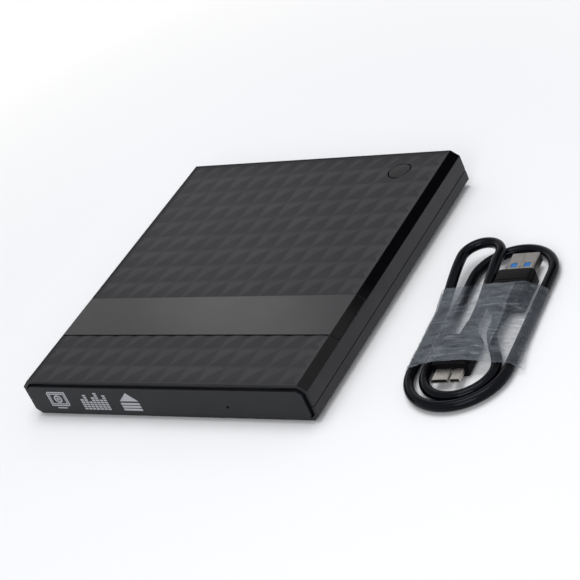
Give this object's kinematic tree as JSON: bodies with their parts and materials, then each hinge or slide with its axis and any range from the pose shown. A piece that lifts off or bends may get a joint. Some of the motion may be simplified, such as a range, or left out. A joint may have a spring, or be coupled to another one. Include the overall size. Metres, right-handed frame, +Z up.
{
  "type": "external optical disc drive",
  "caption": "Slim external disc drive with a pyramid-patterned lid, a tray on telescopic rails and a laser sled, beside its coiled data cable in a film sleeve.",
  "frame": {"origin": "centre of the drive's footprint, bezel included, on the plane that the feet stand on", "axes": "+Z up through the lid, +Y towards the rear with the data socket, -Y the way the tray comes out, +X to the right seen from the front, where the cable lies"},
  "size_m": [0.2178, 0.1546, 0.0187],
  "materials": {
    "lid_plastic": "satin dark grey, low pyramids all over",
    "shell_plastic": "satin dark grey",
    "band_plastic": "smooth, half gloss, mid grey",
    "bezel_plastic": "satin dark grey",
    "tray_plastic": "fine matt black",
    "foot_rubber": "matt black",
    "black_steel": "black oxide",
    "pressed_steel": "plated sheet",
    "bright_steel": "bright",
    "cast_zinc": "as cast",
    "can_aluminium": "drawn can",
    "board_laminate": "green solder mask",
    "chip_resin": "matt black resin",
    "black_resin": "moulded black",
    "pale_resin": "natural moulding resin",
    "copper_coil": "enamelled winding",
    "lens_glass": "coated lens",
    "cable_jacket": "smooth half-matt black jacket",
    "plug_jacket": "moulded black, half matt",
    "blue_resin": "moulded light blue",
    "sleeve_film": "thin clear film"
  },
  "bodies": {
    "shell": {"bottom_shell": "shell_plastic", "top_shell": "lid_plastic", "smooth_band": "band_plastic", "foot_front_left": "foot_rubber", "foot_front_right": "foot_rubber", "foot_rear_left": "foot_rubber", "foot_rear_right": "foot_rubber", "shell_screw_front_left": "black_steel", "shell_screw_front_right": "black_steel", "shell_screw_rear_left": "black_steel", "shell_screw_rear_right": "black_steel", "chassis_base": "pressed_steel", "chassis_cover": "pressed_steel", "rail_guide_left": "pale_resin", "rail_guide_right": "pale_resin", "drive_plug": "black_resin", "drive_plug_board": "board_laminate", "ribbon_cable": "pale_resin", "eject_rod": "bright_steel", "eject_spring": "bright_steel", "bridge_board": "board_laminate", "data_socket": "bright_steel", "bridge_socket": "black_resin", "eject_switch": "black_resin", "bridge_chip": "chip_resin", "bridge_capacitor": "can_aluminium", "usb_cable": "cable_jacket", "plug_a_overmould": "plug_jacket", "plug_a_shell": "bright_steel", "plug_a_insert": "blue_resin", "plug_b_overmould": "plug_jacket", "plug_b_shell": "bright_steel", "cable_sleeve": "sleeve_film"},
    "left_rail": {"rail_left": "bright_steel"},
    "right_rail": {"rail_right": "bright_steel"},
    "tray_unit": {"tray": "tray_plastic", "tray_bezel": "bezel_plastic", "tray_bottom_plate": "pressed_steel", "lock_solenoid": "copper_coil", "main_board": "board_laminate", "main_chip": "chip_resin", "traverse_frame": "pressed_steel", "deck_cover": "black_steel", "disc_motor": "pressed_steel", "guide_rod_main": "bright_steel", "guide_rod_side": "bright_steel", "sled_motor": "pressed_steel"},
    "spindle": {"turntable": "black_steel", "disc_pad": "foot_rubber", "clamp_hub": "tray_plastic"},
    "sled_unit": {"laser_sled": "cast_zinc", "lens_frame": "black_steel"},
    "lens_unit": {"lens_holder": "black_resin", "objective_lens": "lens_glass"},
    "screw_unit": {"lead_screw": "bright_steel"},
    "lever_unit": {"lock_lever": "pale_resin"},
    "button_unit": {"eject_button": "band_plastic"}
  },
  "joints": [
    {"name": "tray_slide", "type": "slide", "parent": "shell", "child": "tray_unit", "axis": [0, -1, 0], "range_m": [0, 0.125]},
    {"name": "rail_left_slide", "type": "slide", "parent": "shell", "child": "left_rail", "axis": [0, -1, 0], "range_m": [0, 0.0625]},
    {"name": "rail_right_slide", "type": "slide", "parent": "shell", "child": "right_rail", "axis": [0, -1, 0], "range_m": [0, 0.0625]},
    {"name": "turntable_spin", "type": "hinge", "parent": "tray_unit", "child": "spindle", "pos_m": [0, -0.01178, 0.0128], "axis": [0, 0, 1], "continuous": true},
    {"name": "sled_slide", "type": "slide", "parent": "tray_unit", "child": "sled_unit", "axis": [-0.6691, -0.7431, 0], "range_m": [0, 0.034]},
    {"name": "lead_screw_turn", "type": "hinge", "parent": "tray_unit", "child": "screw_unit", "pos_m": [0.01085, -0.02154, 0.0086], "axis": [-0.6691, -0.7431, 0], "range_deg": [0, 4080.1]},
    {"name": "lens_focus", "type": "slide", "parent": "sled_unit", "child": "lens_unit", "axis": [0, 0, 1], "range_m": [-0.0003, 0.0005], "stiffness_N_per_m": 30},
    {"name": "lock_lever_turn", "type": "hinge", "parent": "tray_unit", "child": "lever_unit", "pos_m": [0.0524, -0.06968, 0.0063], "axis": [0, 0, 1], "range_deg": [0, 18]},
    {"name": "eject_button_press", "type": "slide", "parent": "shell", "child": "button_unit", "axis": [0, 0, -1], "range_m": [0, 0.0004], "stiffness_N_per_m": 800}
  ],
  "couplings": [
    {"joint": "rail_left_slide", "follows": "tray_slide", "ratio": 0.5},
    {"joint": "rail_right_slide", "follows": "tray_slide", "ratio": 0.5},
    {"joint": "lead_screw_turn", "follows": "sled_slide", "rad_per_m": 2094.4}
  ]
}
